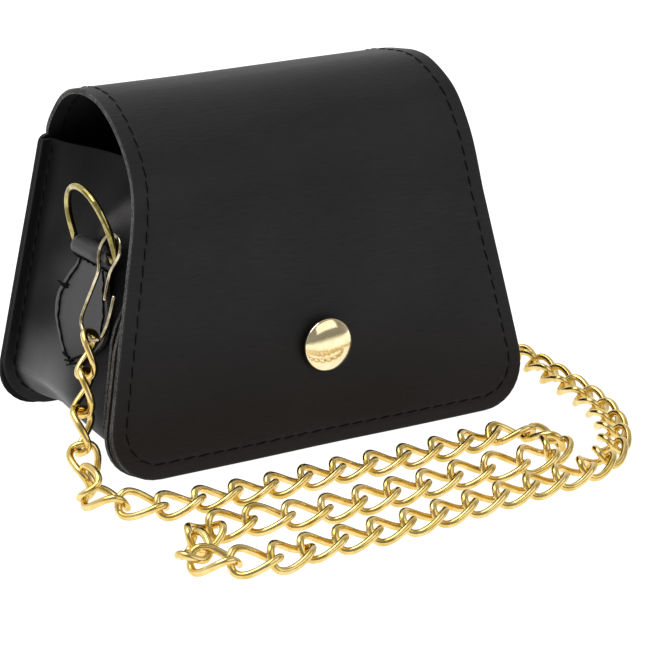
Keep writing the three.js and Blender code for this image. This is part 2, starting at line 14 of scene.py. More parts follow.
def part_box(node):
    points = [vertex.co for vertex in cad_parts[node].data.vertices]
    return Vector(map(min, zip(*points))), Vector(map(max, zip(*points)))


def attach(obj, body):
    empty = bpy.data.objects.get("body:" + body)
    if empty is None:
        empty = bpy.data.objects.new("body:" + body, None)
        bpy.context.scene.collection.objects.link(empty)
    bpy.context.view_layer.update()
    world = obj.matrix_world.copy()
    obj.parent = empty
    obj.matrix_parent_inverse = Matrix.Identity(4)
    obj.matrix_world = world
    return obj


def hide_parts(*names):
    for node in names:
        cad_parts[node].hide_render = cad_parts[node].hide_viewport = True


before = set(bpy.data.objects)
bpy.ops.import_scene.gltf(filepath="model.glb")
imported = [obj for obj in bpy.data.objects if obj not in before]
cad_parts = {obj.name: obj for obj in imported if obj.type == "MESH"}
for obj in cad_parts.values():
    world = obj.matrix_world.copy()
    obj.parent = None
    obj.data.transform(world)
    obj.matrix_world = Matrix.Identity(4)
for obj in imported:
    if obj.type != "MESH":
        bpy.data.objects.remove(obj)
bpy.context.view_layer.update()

# ------------------------------------------------------------- back and flap
# One sheet of black leather cloth that stands up at the back, bends over the mouth
# and hangs down over the front. Its edges are cut raw and sewn round with black thread.

leather = 1.6
outer_ply, ply_gap, inner_ply = 0.8, 0.08, 0.72  # together the thickness of the leather
# half width at the foot, its loss per millimetre up, corner, y at the foot and its
# change per millimetre up, and height of the foot
flap_sheet = {"half": 75.0, "taper": 0.209, "corner": 18, "foot": -37.9, "lean": 0.132, "bottom": 0.4}
back_sheet = {"half": 74.0, "taper": 0.194, "corner": 16, "foot": 42.6, "lean": -0.054, "bottom": 0.0}
front_sheet = {"half": 74.4, "taper": 0.209, "corner": 16, "foot": -33.5, "lean": 0.132, "bottom": 0.0,
               "pinch": 4.6}
back_top = 86.8
shoulder = 2.4  # round corner of the back panel beside the flap
seam_inset = 4.5
stitch_pitch = 4.8
stitch_length, stitch_thick = 4.15, 0.43
sheet_edge_round = 0.16

# the bag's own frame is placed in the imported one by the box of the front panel, which
# leans, so that its inner face dips a little below its foot
panel_low, panel_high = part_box("front_panel")
sole_dip = leather * math.sin(math.atan(front_sheet["lean"]))
to_frame = Matrix.Translation((
    (panel_low.x + panel_high.x) / 2,
    panel_low.y - front_sheet["foot"] * 0.001,
    panel_low.z + sole_dip * 0.001,
)) @ Matrix.Scale(0.001, 4)

# outer face of the bend: y and z at the left edge, y and z at the right edge, half width
flap_bend = [
    (37.6, 88.2, 37.6, 88.4, 54.9),
    (36.0, 91.4, 36.0, 92.3, 54.8),
    (33.0, 95.3, 33.0, 97.0, 54.6),
    (28.4, 99.8, 28.2, 101.4, 54.5),
    (22.3, 103.1, 22.0, 104.4, 54.5),
    (15.2, 104.6, 15.2, 106.0, 54.6),
    (8.9, 104.7, 8.5, 107.0, 54.7),
    (2.6, 103.7, 1.6, 107.7, 54.9),
    (-4.6, 100.8, -5.4, 106.9, 55.2),
    (-11.3, 96.6, -12.4, 103.8, 55.7),
    (-17.6, 91.6, -18.2, 99.4, 56.4),
    (-23.0, 85.4, -22.2, 93.0, 57.4),
    (-26.8, 78.4, -25.6, 83.8, 58.8),
]


class Value:
    """A socket of a finish that can be reckoned with like a number."""

    def __init__(self, tree, socket):
        self.tree = tree
        self.socket = socket

    def node(self, kind, settings=None, sockets=None, out=0):
        """Adds a node: its settings first, then the values or links of its sockets."""
        made = self.tree.nodes.new(kind)
        for name, setting in (settings or {}).items():
            setattr(made, name, setting)
        for key, value in (sockets or {}).items():
            if isinstance(value, Value):
                self.tree.links.new(value.socket, made.inputs[key])
            else:
                made.inputs[key].default_value = value
        return Value(self.tree, made.outputs[out])

    def maths(self, operation, first, second=0.0):
        return self.node("ShaderNodeMath", {"operation": operation}, {0: first, 1: second})

    def __add__(self, other):
        return self.maths("ADD", self, other)

    def __radd__(self, other):
        return self.maths("ADD", other, self)

    def __sub__(self, other):
        return self.maths("SUBTRACT", self, other)

    def __rsub__(self, other):
        return self.maths("SUBTRACT", other, self)

    def __mul__(self, other):
        return self.maths("MULTIPLY", self, other)

    def __rmul__(self, other):
        return self.maths("MULTIPLY", other, self)

    def spread(self, low, high, new_low=0.0, new_high=1.0):
        """Maps low..high smoothly to new_low..new_high and holds it there."""
        return self.node("ShaderNodeMapRange", {"interpolation_type": "SMOOTHSTEP"},
                         {0: self, 1: low, 2: high, 3: new_low, 4: new_high})

    def mixed(self, colour_a, colour_b):
        """Mixes two colours by this value."""
        return self.node("ShaderNodeMix", {"data_type": "RGBA"}, {0: self, 6: colour_a, 7: colour_b}, 2)

    def stretched(self, *scales):
        """Object coordinates, in millimetres times one or three scales, for a pattern."""
        x, y, z = scales if len(scales) == 3 else 3 * scales
        return self.node("ShaderNodeMapping", {"vector_type": "POINT"},
                         {0: self, 3: (1000 * x, 1000 * y, 1000 * z)})

    def mottle(self, detail, roughness):
        """Noise between 0 and 1 at these coordinates."""
        return self.node("ShaderNodeTexNoise", {}, {"Vector": self, "Scale": 1.0,
                                                    "Detail": detail, "Roughness": roughness})

    def part(self, axis):
        """One of the three coordinates, in metres: axis 0, 1 or 2."""
        return self.node("ShaderNodeSeparateXYZ", {}, {0: self}, axis)

    def drawn(self, name):
        """A value that each point of the piece was given when it was drawn."""
        return self.node("ShaderNodeAttribute", {"attribute_name": name}, {}, 2)


def new_finish(name):
    """A new material, and its object coordinates to start a pattern from."""
    material = bpy.data.materials.new(name)
    material.use_nodes = True
    tree = material.node_tree
    tree.nodes.clear()
    coordinates = tree.nodes.new("ShaderNodeTexCoord")
    return material, Value(tree, coordinates.outputs["Object"])


def close_finish(where, shader_sockets, height=None):
    """Ends a finish in one Principled shader, with a bump whose height is in millimetres."""
    sockets = dict(shader_sockets)
    if height is not None:
        bump_sockets = {"Strength": 1.0, "Distance": 0.001, "Height": height}
        sockets["Normal"] = where.node("ShaderNodeBump", {}, bump_sockets)
    shader = where.node("ShaderNodeBsdfPrincipled", {}, sockets)
    output = where.tree.nodes.new("ShaderNodeOutputMaterial")
    where.tree.links.new(shader.socket, output.inputs["Surface"])


def leather_finish():
    """Black leather cloth with fine lines across. It sinks along its seam, most of all at
    the stitch holes, is rubbed grey at its edge and is darker at its foot."""
    material, where = new_finish("leather_panels")
    lines = where.stretched(0.22, 1.5, 1.5).mottle(3.0, 0.6)
    pores = where.stretched(2.6).mottle(2.0, 0.6)
    cloudy = where.stretched(0.03).mottle(2.0, 0.5)
    edge = where.drawn("edge_mm")
    off_seam = (edge - seam_inset) * (edge - seam_inset)
    seam = off_seam.spread(0.0, 0.8, 1.0, 0.0)
    pulled = off_seam.spread(0.0, 2.4, 1.0, 0.0)
    hole = where.maths("COSINE", where.drawn("stitch") * (2 * math.pi)).spread(0.1, 1.0)
    rubbed = edge.spread(0.0, 0.7, 1.0, 0.0)
    height = 0.10 * lines + 0.02 * pores - 0.06 * seam - 0.05 * pulled * hole
    tint = (cloudy * 0.5 + lines * 0.5).spread(0.3, 0.7)
    low_down = where.part(2).spread(0.0, 0.055, 1.0, 0.0)
    base = tint.mixed((0.0080, 0.0080, 0.0090, 1), (0.0150, 0.0146, 0.0160, 1))
    base = low_down.mixed(base, (0.0040, 0.0018, 0.0014, 1))
    base = (rubbed * 0.5).mixed(base, (0.045, 0.043, 0.041, 1))
    gloss = 0.38 + 0.10 * cloudy + 0.12 * lines + 0.1 * rubbed
    close_finish(where, {"Base Color": base, "Roughness": gloss, "Specular IOR Level": 0.215}, height)
    return material


def lining_finish():
    """Woven black backing of the leather cloth, seen only on its inner side."""
    material, where = new_finish("black_backing")
    threads = {"Vector": where.stretched(0.5), "Scale": 1.0, "Distortion": 0.6}
    warp = where.node("ShaderNodeTexWave", {"bands_direction": "X"}, threads)
    weft = where.node("ShaderNodeTexWave", {"bands_direction": "Z"}, threads)
    height = 0.04 * warp + 0.04 * weft
    base = (warp * weft).mixed((0.003, 0.003, 0.0032, 1), (0.008, 0.0072, 0.0068, 1))
    close_finish(where, {"Base Color": base, "Roughness": 0.85 + 0.1 * weft,
                         "Specular IOR Level": 0.25}, height)
    return material


def cut_edge_finish(name, deep, bright):
    """Raw cut edge: specks of grey fibre between the black faces. The edge of the back,
    below the top of the gusset, is inked black."""
    material, where = new_finish(name)
    fibres = where.stretched(1.6).mottle(4.0, 0.75)
    patches = where.stretched(0.12).mottle(2.0, 0.5)
    tone = (fibres * 0.75 + patches * 0.25).spread(0.40, 0.62)
    inked = where.part(1).spread(0.034, 0.044) * where.part(2).spread(0.085, 0.089, 1.0, 0.0)
    base = tone.mixed((deep, deep, deep, 1), (bright, bright * 0.97, bright * 0.94, 1))
    base = inked.mixed(base, (0.008, 0.008, 0.009, 1))
    close_finish(where, {"Base Color": base, "Roughness": 0.8 + 0.1 * patches,
                         "Specular IOR Level": 0.2}, 0.15 * fibres)
    return material


def thread_finish():
    """Black sewing thread with a little sheen and a visible twist."""
    material, where = new_finish("black_thread")
    twist = where.node("ShaderNodeTexWave", {"bands_direction": "DIAGONAL"},
                       {"Vector": where.stretched(1.6), "Scale": 1.0})
    base = twist.mixed((0.0015, 0.0015, 0.0018, 1), (0.006, 0.0055, 0.0055, 1))
    close_finish(where, {"Base Color": base, "Roughness": 0.55 + 0.15 * twist,
                         "Specular IOR Level": 0.04}, 0.04 * twist)
    return material


panel_leather = leather_finish()
backing = lining_finish()
cut_edge = cut_edge_finish("cut_edge", 0.018, 0.13)
dark_edge = cut_edge_finish("dark_edge", 0.004, 0.085)
black_thread = thread_finish()


def smooth(value, low, high):
    """Rises gently from 0 at low to 1 at high."""
    t = min(max((value - low) / (high - low), 0.0), 1.0)
    return t * t * (3 - 2 * t)


def pinched(sheet, z):
    """How far the upper part of a sheet is drawn in under the flap."""
    return sheet.get("pinch", 0.0) * smooth(z, 40, 56)


def half_width(sheet, z, inset=0.0):
    """Half width of a tapered sheet at height z, inset from its rounded outline."""
    rise = z - sheet["bottom"]
    straight = sheet["half"] - sheet["taper"] * rise - pinched(sheet, z)
    if rise >= sheet["corner"]:
        return straight - inset
    radius = sheet["corner"] - inset
    left = sheet["corner"] - rise
    return straight - sheet["corner"] + math.sqrt(max(radius ** 2 - left ** 2, 0.0))


def face_y(sheet, z):
    """Where the outer face of a sheet lies, from front to back, at height z."""
    return sheet["foot"] + sheet["lean"] * z


def edge_distance(sheet, x, z):
    """How far a point of a tapered sheet lies inside its outline."""
    rise = z - sheet["bottom"]
    side = sheet["half"] - sheet["taper"] * rise - pinched(sheet, z) - abs(x)
    over = sheet["corner"] - side
    under = sheet["corner"] - rise
    if over > 0 and under > 0:
        return sheet["corner"] - math.hypot(over, under)
    return min(side, rise)


def corner_heights(sheet, steps):
    """Heights round the lower corners, close together near the foot."""
    quarter = math.pi / 2
    rises = [1 - math.cos(quarter * i / steps) for i in range(steps + 1)]
    return [sheet["bottom"] + sheet["corner"] * rise for rise in rises]


def smooth_rows(controls, steps):
    """Smooth curve through rows of numbers, in so many steps from one row to the next."""
    rows = []
    last = len(controls) - 1
    for i in range(last):
        a, b, c, d = (controls[min(max(i + k, 0), last)] for k in (-1, 0, 1, 2))
        for t in (k / steps for k in range(steps)):
            row = []
            for p, q, r, s in zip(a, b, c, d):
                bend = (2 * p - 5 * q + 4 * r - s) + t * (3 * q - p - 3 * r + s)
                row.append(q + 0.5 * t * ((r - p) + t * bend))
            rows.append(row)
    return rows + [controls[-1]]


def columns_between(left, right, middle):
    """Places from right to left across a row: close together by both edges."""
    width = right - left
    edges = (0, 0.7, 1.6, 2.8, 3.8, 4.6, 5.4, 7.0)
    inner = [edges[-1] + (width - 2 * edges[-1]) * i / middle for i in range(1, middle)]
    places = [*edges, *inner, *[width - e for e in reversed(edges)]]
    return [right - place for place in places]


def laid_grid(marks, rows):
    """Outer skin through rows of points; a point is its place and then its marks."""
    skin = bmesh.new()
    across = len(rows[0])
    bmesh.ops.create_grid(skin, x_segments=across - 1, y_segments=len(rows) - 1, size=1)
    skin.verts.ensure_lookup_table()
    layers = [skin.verts.layers.float.new(mark) for mark in marks]
    for k, row in enumerate(rows):
        for j, (place, *values) in enumerate(row):
            vert = skin.verts[k * across + j]
            vert.co = place
            for layer, value in zip(layers, values):
                vert[layer] = value
    skin.normal_update()
    return skin


def sheet_skin(rows, middle, shape):
    """Outer skin of a sheet, whose row k runs between the ends of rows[k], and whose
    points get their place and their distance to the edge from shape(k, x)."""
    laid = []
    for k, (left, right) in enumerate(rows):
        laid.append([(*shape(k, x), 0.0) for x in columns_between(left, right, middle)])
    return laid_grid(("edge_mm", "stitch"), laid)


def distances_along(path):
    """Distance of each point of a path from its start."""
    walked = [0.0]
    for a, b in zip(path, path[1:]):
        walked.append(walked[-1] + math.dist(a, b))
    return walked


def step_at(walked, distance):
    """The step of a path that a distance along it falls in, and how far along the step."""
    i = min(max(bisect(walked, distance), 1), len(walked) - 1) - 1
    return i, (distance - walked[i]) / (walked[i + 1] - walked[i])


def mark_stitches(skin, seams):
    """Numbers the stitches of the nearest seam, so that the finish can sink at each hole."""
    edge = skin.verts.layers.float["edge_mm"]
    stitch = skin.verts.layers.float["stitch"]
    for vert in skin.verts:
        if vert[edge] > 2 * seam_inset:
            continue
        nearest = None
        for seam in seams:
            i = min(range(1, len(seam) - 1), key=lambda n: (seam[n] - vert.co).length_squared)
            gap = (seam[i] - vert.co).length_squared
            if nearest is None or gap < nearest[0]:
                nearest = (gap, seam, i)
        _, seam, i = nearest
        walked = distances_along(seam)
        ahead = (seam[i + 1] - seam[i - 1]).normalized()
        count = int(walked[-1] / stitch_pitch)
        vert[stitch] = (walked[i] + (vert.co - seam[i]).dot(ahead)) / walked[-1] * count


def new_piece(name, skin, *finishes):
    """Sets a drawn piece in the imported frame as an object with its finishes."""
    mesh = bpy.data.meshes.new(name)
    skin.to_mesh(mesh)
    mesh.transform(to_frame)
    piece = bpy.data.objects.new(name, mesh)
    bpy.context.collection.objects.link(piece)
    for finish in finishes:
        mesh.materials.append(finish)
    for polygon in mesh.polygons:
        polygon.use_smooth = True
    return piece


def thicken(piece, thickness, edge_round):
    """Gives a skin its thickness inwards, with a rim of raw edge, and eases its edges."""
    wall = piece.modifiers.new("thickness", "SOLIDIFY")
    wall.thickness = thickness * 0.001
    wall.offset = -1
    wall.use_even_offset = True
    wall.material_offset = 2
    wall.material_offset_rim = 1
    ease = piece.modifiers.new("eased edge", "BEVEL")
    ease.width = edge_round * 0.001
    ease.segments = 2
    ease.limit_method = "ANGLE"
    ease.angle_limit = math.radians(50)


# the profile from the foot of the back, over the bend, to the foot of the flap
back_heights = [*corner_heights(back_sheet, 10), 18, 23, 29, 36, 43, 50, 57, 64, 71, 77, 81, 84.4]
back_heights += [84.8, 85.4, 86.0, 86.5, back_top]
flap_heights = [66, 62, 57, 52, 47, 42, 37, 32, 28, 25, 22, *reversed(corner_heights(flap_sheet, 10))]


def back_half(z):
    """Half width of the back panel, rounded at its shoulders beside the flap."""
    narrow = half_width(back_sheet, z)
    over = z - (back_top - shoulder)
    if over > 0:
        narrow += math.sqrt(max(shoulder ** 2 - over ** 2, 0.0)) - shoulder
    return narrow


def straight_row(sheet, z, half):
    """Row of the profile: left y and z, right y and z, half width."""
    y = face_y(sheet, z)
    return [y, z, y, z, half]


profile = [straight_row(back_sheet, z, back_half(z)) for z in back_heights]
bend_start = len(profile)
flap_start = 70  # height below which the flap hangs straight
flap_row = straight_row(flap_sheet, flap_start, half_width(flap_sheet, flap_start))
bend_steps = 4
profile += smooth_rows([profile[-1], *flap_bend, flap_row], bend_steps)[1:]
bend_end = len(profile)
profile += [straight_row(flap_sheet, z, half_width(flap_sheet, z)) for z in flap_heights]


def profile_point(k, x):
    """Point of row k of the profile at width x, before the leather gives."""
    left_y, left_z, right_y, right_z, half = profile[k]
    t = (x + half) / (2 * half)
    return Vector((x, left_y + (right_y - left_y) * t, left_z + (right_z - left_z) * t))


def flap_shape(k, x):
    """Point of row k at width x, where the leather gives a little, and its edge distance."""
    point = profile_point(k, x)
    run = profile_point(min(k + 1, len(profile) - 1), x) - profile_point(max(k - 1, 0), x)
    outward = Vector((0, run.z, -run.y)).normalized()
    if k < bend_start:
        edge = min(edge_distance(back_sheet, x, point.z), back_half(point.z) - abs(x))
        give = 0.2
    elif k < bend_end:
        edge = profile[k][4] - abs(x)
        give = 0.3
    else:
        edge = edge_distance(flap_sheet, x, point.z)
        give = 0.4
    wave = noise.noise(Vector((x, point.y, point.z)) * 0.03 + Vector((4.1, 0.7, 2.3)))
    return point + outward * (give * wave), edge


def inset_outline(sheet, inset, top):
    """Path inside the outline of a sheet: down the left, along the foot, up the right."""
    low = sheet["bottom"] + inset
    heights = [low + (top - low) * (i / 60) ** 2 for i in range(61)]
    left = [Vector((-half_width(sheet, z, inset), face_y(sheet, z), z)) for z in reversed(heights)]
    right = [Vector((-p.x, p.y, p.z)) for p in reversed(left)]
    foot = [left[-1].lerp(right[0], i / 20) for i in range(1, 20)]
    return left + foot + right


bend_rows = range(bend_start - 3, bend_end)
bend_left = [profile_point(k, seam_inset - profile[k][4]) for k in bend_rows]
bend_right = [profile_point(k, profile[k][4] - seam_inset) for k in bend_rows]
flap_seam = bend_left + inset_outline(flap_sheet, seam_inset, top=68) + bend_right[::-1]
back_seam = inset_outline(back_sheet, seam_inset, top=85)

flap_rows = [(-row[4], row[4]) for row in profile]
flap_skin = sheet_skin(flap_rows, 30, flap_shape)
mark_stitches(flap_skin, (back_seam, flap_seam))
flap_tree = BVHTree.FromBMesh(flap_skin)


def two_plies(node, skin):
    """The outer ply and, drawn inwards behind it, the backing ply of a sheet."""
    backing_skin = skin.copy()
    for vert in backing_skin.verts:
        vert.co -= vert.normal * (outer_ply + ply_gap)
    for part, drawn, thick in (("_leather", skin, outer_ply), ("_backing", backing_skin, inner_ply)):
        piece = new_piece(node + part, drawn, panel_leather, cut_edge, backing)
        thicken(piece, thick, sheet_edge_round)
        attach(piece, "root")
        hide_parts(node)


two_plies("back_and_flap", flap_skin)


def sewn(name, path, tree, length, thick, sink=0.12, side=1.0):
    """A row of stitches along a path, laid on the skin of the tree. Each stitch is a
    plump thread that dips into its two holes; side -1 sews the other face."""
    thread = bmesh.new()
    walked = distances_along(path)

    def at(distance):
        i, t = step_at(walked, distance)
        return path[i].lerp(path[i + 1], t)

    count = int(walked[-1] / stitch_pitch)
    for n in range(count):
        middle = (n + 0.5) * walked[-1] / count
        place, normal, _, _ = tree.find_nearest(at(middle))
        along = at(middle + 0.5) - at(middle - 0.5)
        normal = normal * side
        along = (along - normal * along.dot(normal)).normalized()
        slant = math.radians(4 + 5 * noise.noise(place * 0.37))
        along = Quaternion(normal, slant) @ along
        across = normal.cross(along)
        turn = Matrix((normal, across, along)).transposed().to_4x4()
        offset = Matrix.Translation(place + normal * (thick * 0.4 - sink))
        # plump in its middle, with both ends sunk into the holes
        made = bmesh.ops.create_uvsphere(thread, u_segments=7, v_segments=7, radius=1)
        for vert in made["verts"]:
            reach = math.copysign(abs(vert.co.z) ** 0.7, vert.co.z)
            sunk = -0.35 * thick * reach ** 4
            vert.co = Vector((vert.co.x * thick / 2 + sunk, vert.co.y * thick / 2, reach * length / 2))
        bmesh.ops.transform(thread, matrix=offset @ turn, verts=made["verts"])
    piece = new_piece(name, thread, black_thread)
    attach(piece, "root")


sewn("flap_stitches", flap_seam, flap_tree, stitch_length, stitch_thick)
sewn("back_stitches", back_seam, flap_tree, stitch_length, stitch_thick)
sewn("flap_inner_stitches", flap_seam, flap_tree, 3.9, 0.6, sink=-1.5, side=-1.0)

# --------------------------------------------------------------- front panel
# Sheet of the same leather cloth under the flap, sewn to the front flange of the gusset
# and drawn in a little higher up. Two narrow facings fill the gap before it.

panel_top = 82
panel_heights = [panel_top, *range(78, 29, -8), 24, 19, *reversed(corner_heights(front_sheet, 10))]
panel_rows = [(-half_width(front_sheet, z), half_width(front_sheet, z)) for z in panel_heights]


def front_shape(k, x):
    """Point of row k at width x, and its distance to the edge."""
    z = panel_heights[k]
    edge = min(edge_distance(front_sheet, x, z), panel_top - z)
    return Vector((x, face_y(front_sheet, z), z)), edge


front_skin = sheet_skin(panel_rows, 20, front_shape)
front_seam = inset_outline(front_sheet, seam_inset, top=80)
mark_stitches(front_skin, (front_seam,))
front_tree = BVHTree.FromBMesh(front_skin)
two_plies("front_panel", front_skin)
sewn("front_stitches", front_seam, front_tree, 3.9, 0.5)

# the facings follow the edge of the panel, with their raw edges outwards
facing_thick = 1.15
for number, lift in enumerate((1.3, 2.55)):
    columns = []
    for inset in (7.0, 5.5, 3.0, 1.2, 0.5 + 0.25 * number):
        path = inset_outline(front_sheet, inset, top=62)
        columns.append([(place - Vector((0, lift, 0)), inset) for place in path])
    facing_skin = laid_grid(("edge_mm",), list(zip(*columns)))
    facing = new_piece("facing_%d" % (number + 1), facing_skin, panel_leather, dark_edge, backing)
    thicken(facing, facing_thick, sheet_edge_round)
    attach(facing, "root")

# -------------------------------------------------------------------- gusset
# One strip of softer black leather cloth, down one side, under the bag and up the other.
# Its long edges are turned out and sewn between the panels; the mouth folds inwards.

lining = 1.4  # thickness of the strip
clearance = 0.3
flange = 6.0
gusset_top = 85.5
gusset_edge_round = 0.22
flange_bend = 0.5  # radius at the root of the flanges
back_root = 2.6  # the back flange is this much narrower
front_sag = 3.3  # the front half hangs this much lower at the corners


def folded_finish():
    """Soft black leather whose colour and coat carry painted light and shade, drawn onto each point of
    the gusset: darker where shade is painted, lighter and glossier where highlights are painted.
    """
    material, where = new_finish("leather_gusset")
    grain = where.stretched(1.3).mottle(3.0, 0.6)
    cloudy = where.stretched(0.09).mottle(3.0, 0.55)
    lit_and_shaded = where.drawn("lit_and_shaded")
    rubbed = where.drawn("edge_mm").spread(0.0, 0.7, 1.0, 0.0)
    # painted light and shade: the base is darker where shade is painted and lighter where highlights
    # are painted
    base = lit_and_shaded.mixed((0.0055, 0.0053, 0.0057, 1), (0.0165, 0.0138, 0.0140, 1))
    base = (rubbed * 0.3).mixed(base, (0.030, 0.029, 0.028, 1))
    # the coat weight follows the same painted light, adding a painted sheen, with some random mottle
    coat_by_painted_light = (lit_and_shaded + 0.22 * (cloudy - 0.5)).spread(0.0, 1.0)
    close_finish(where, {"Base Color": base, "Roughness": 0.45 + 0.15 * grain,
                         "Specular IOR Level": 0.07, "Coat Weight": coat_by_painted_light, "Coat Roughness": 0.42},
                 0.09 * grain + 0.25 * cloudy)
    return material


soft_leather = folded_finish()


def gusset_stations():
    """Outline of the strip with its inward direction: (x, z, inward x, inward z)."""
    half, taper, corner = back_sheet["half"], back_sheet["taper"], back_sheet["corner"]
    lean = math.cos(math.atan(taper))
    side = []
    for z in [gusset_top, 84, 82, 79, *range(76, 16, -4), 17]:
        side.append((half - taper * z, z, -lean, 0.0))
    centre = half - taper * corner - corner
    for i in range(11):
        a = i / 10 * math.pi / 2
        c, s = math.cos(a), math.sin(a)
        side.append((centre + corner * c, corner - corner * s, -c, s))
    left = [(-x, z, -in_x, in_z) for x, z, in_x, in_z in side]
    under = [(-centre + 2 * centre * i / 18, 0.0, 0.0, 1.0) for i in range(1, 18)]
    return left + under + list(reversed(side))


def bump_at(value, centre, width):
    """A round bump of height 1."""
    return math.exp(-((value - centre) / width) ** 2)


def fold_at(z, t):
    """The raised fold that runs from the ring up to the edge of the flap."""
    return bump_at(z, 66 - 20 * (t + 0.2), 3.4) * smooth(-t, 0.02, 0.35)


def web_inset(z, t):
    """How far the web lies inside its straight line, at t between front -1 and back 1.
    It folds in along a crease near the front, bellies out low down and is dented."""
    if z < 12:
        return 0.4 * noise.noise(Vector((t * 1.6, 0.7, 0.4)))
    crease = -0.84 + 0.32 * smooth(z, 54, 76)
    if t > crease:
        part = (1 - t) / (1 - crease)
    else:
        part = (t + 1) / (crease + 1)
    inset = (1.0 + 6.0 * smooth(z, 56, 86)) * smooth(part, 0, 1) * smooth(z, 14, 34)
    # hollow beside the clip, swelling by the flap, belly low down, dent before it
    inset += 3.4 * bump_at(z, 52, 13) * smooth(-t, 0.50, 0.80) * (1 - smooth(-t, 0.93, 1.0))
    inset -= 1.5 * bump_at(z, 71, 7) * bump_at(t, -0.80, 0.12) + 1.0 * fold_at(z, t)
    inset -= 2.6 * bump_at(z, 22, 11) * bump_at(t, 0.25, 0.5)
    inset += 1.3 * bump_at(z, 27, 9) * bump_at(t, -0.5, 0.22)
    inset += 0.9 * noise.noise(Vector((3.1, t * 1.7, z * 0.05))) * (1 - t ** 4)
    return inset


def painted_light_at(z, t):
    """Painted light and shade on the gusset, from 0 for painted shade to 1 for painted highlight:
    painted highlights low down at the back, on the raised fold, beside the crease by the flap and a
    little near the top at the front; painted shade in the hollow beside the clip, by the back flange
    and near the foot; with some random mottle.
    """
    value = 0.07 + 0.78 * (1 - smooth(z + 12 * t, 20, 46)) * smooth(t, -0.55, 0.10)
    value += 0.30 * bump_at(z, 44, 12) * bump_at(t, 0.15, 0.5)
    value += 0.95 * fold_at(z, t) + 0.35 * bump_at(z, 66, 5) * smooth(-t, 0.35, 0.6)
    value += 0.14 * bump_at(z, 84, 9) * smooth(-t, 0.0, 0.6)
    # painted shade in the hollow beside the clip
    value -= 0.30 * bump_at(z, 51, 10) * smooth(-t, 0.35, 0.7)
    value += 0.16 * noise.noise(Vector((t * 2.2, 1.9, z * 0.09)))
    # painted shade by the back flange and towards the foot
    value *= (1 - 0.5 * smooth(t, 0.82, 1.0) * smooth(z, 20, 45)) * (0.35 + 0.65 * smooth(z, 3, 17))
    return min(max(value, 0.0), 1.0)


def sag_at(x, z, in_z):
    """How far the front half of the strip hangs down and out at its lower corners."""
    if in_z == 0:
        return front_sag * (1 - smooth(z, 15, 36))
    return front_sag * (1 - 0.7 * smooth(50 - abs(x), 0, 30))


front_face = front_sheet["foot"] + leather + clearance
back_face = back_sheet["foot"] - leather - clearance
flange_columns = [(0, 0), (1.0, 0), (2.2, 0), (3.4, 0)]
for i in range(5):
    a = i / 4 * math.pi / 2
    bent_in = flange_bend * math.sin(a)
    flange_columns.append((flange - flange_bend + bent_in, flange_bend * (1 - math.cos(a))))
# even level of painted light on both flanges, between painted shade and painted highlight
flange_painted_light = 0.30
web_columns = 26

gusset_rows = []
for x, z, in_x, in_z in gusset_stations():
    drawn_in = pinched(front_sheet, z)
    sag = sag_at(x, z, in_z)
    flanges = []
    for sheet, face, inwards, lost, drawn in (
            (front_sheet, front_face, 1, sag, drawn_in), (back_sheet, back_face, -1, back_root, 0)):
        row = []
        for inset, depth in flange_columns:
            short = inset * (1 - lost / flange)
            pz = z + in_z * short
            y = face + sheet["lean"] * pz + inwards * (lining + depth)
            row.append(((x + in_x * (short + drawn), y, pz), inset, flange_painted_light))
        flanges.append(row)
    row, behind = flanges
    front_y, back_y = row[-1][0][1], behind[-1][0][1]
    for i in range(1, web_columns):
        part = i / web_columns
        t = 2 * part - 1
        deep = flange + web_inset(z, t) + drawn_in * (1 - smooth(part, 0.0, 0.4))
        deep -= back_root * smooth(t, 0.30, 1.0) + sag * (1 - smooth(t, -0.8, 0.8))
        y = front_y + (back_y - front_y) * part
        # each point of the web carries its painted light and shade
        row.append(((x + in_x * deep, y, z + in_z * deep), deep, painted_light_at(z, t)))
    gusset_rows.append(row + behind[::-1])
# the skin carries each point's distance to the edge and its painted light and shade
gusset_skin = laid_grid(("edge_mm", "lit_and_shaded"), gusset_rows)
gusset_tree = BVHTree.FromBMesh(gusset_skin)
gusset = new_piece("gusset_leather", gusset_skin, soft_leather, dark_edge, backing)
thicken(gusset, lining, gusset_edge_round)
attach(gusset, "root")
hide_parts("gusset")

# stitches that come through the back flange, on the side that looks forwards
through_flange = Vector((0, leather + clearance + lining, 0))
flange_seam = [p - through_flange for p in inset_outline(back_sheet, 4.4, top=84.5)]
sewn("back_flange_stitches", flange_seam, gusset_tree, 3.7, 0.5)

# ---------------------------------------------------------------- side tabs
# A strip of leather folded round the bar of the D-ring and sewn flat to the gusset below
# it, with a stitched row under the roll and coarse overcast stitches round the leaf.

tab_z = 60.3  # height of the D-ring's bar
tab_thick = 1.6  # from the gusset to the outer face of the leaf
tab_ply = 1.4
roll_outer = 2.8
side_slope = math.atan(back_sheet["taper"])
side_foot = back_sheet["half"] - back_sheet["taper"] * tab_z - flange * math.cos(side_slope)
roll_lift = clearance + roll_outer
# outline of the leaf from the row under the roll to its point: v, back edge, front edge
leaf = [
    (0.5, 6.9, -7.7),
    (-6, 10.0, -7.8),
    (-11, 14.3, -9.0),
    (-18, 18.3, -11.5),
    (-25, 17.3, -11.0),
    (-31, 10.5, -5.5),
    (-36, 2.4, -2.0),
]


def on_left_side(u, v, w):
    """Point on the left side: u towards the back, v up the leather, w outwards."""
    return Vector((
        -side_foot + v * math.sin(side_slope) - w * math.cos(side_slope),
        u,
        tab_z + v * math.cos(side_slope),
    ))


def leaf_lift(u, v):
    """How far the leather under the tab gives way, so that the leaf lies on it."""
    z = tab_z + v * math.cos(side_slope)
    front_y = front_face + front_sheet["lean"] * z + lining + flange_bend
    back_y = back_face + back_sheet["lean"] * z - lining - flange_bend
    t = 2 * (u - front_y) / (back_y - front_y) - 1
    given = back_root * smooth(t, 0.30, 1.0) - web_inset(z, min(max(t, -1), 1))
    return given * smooth(-v, 1.0, 9.0)


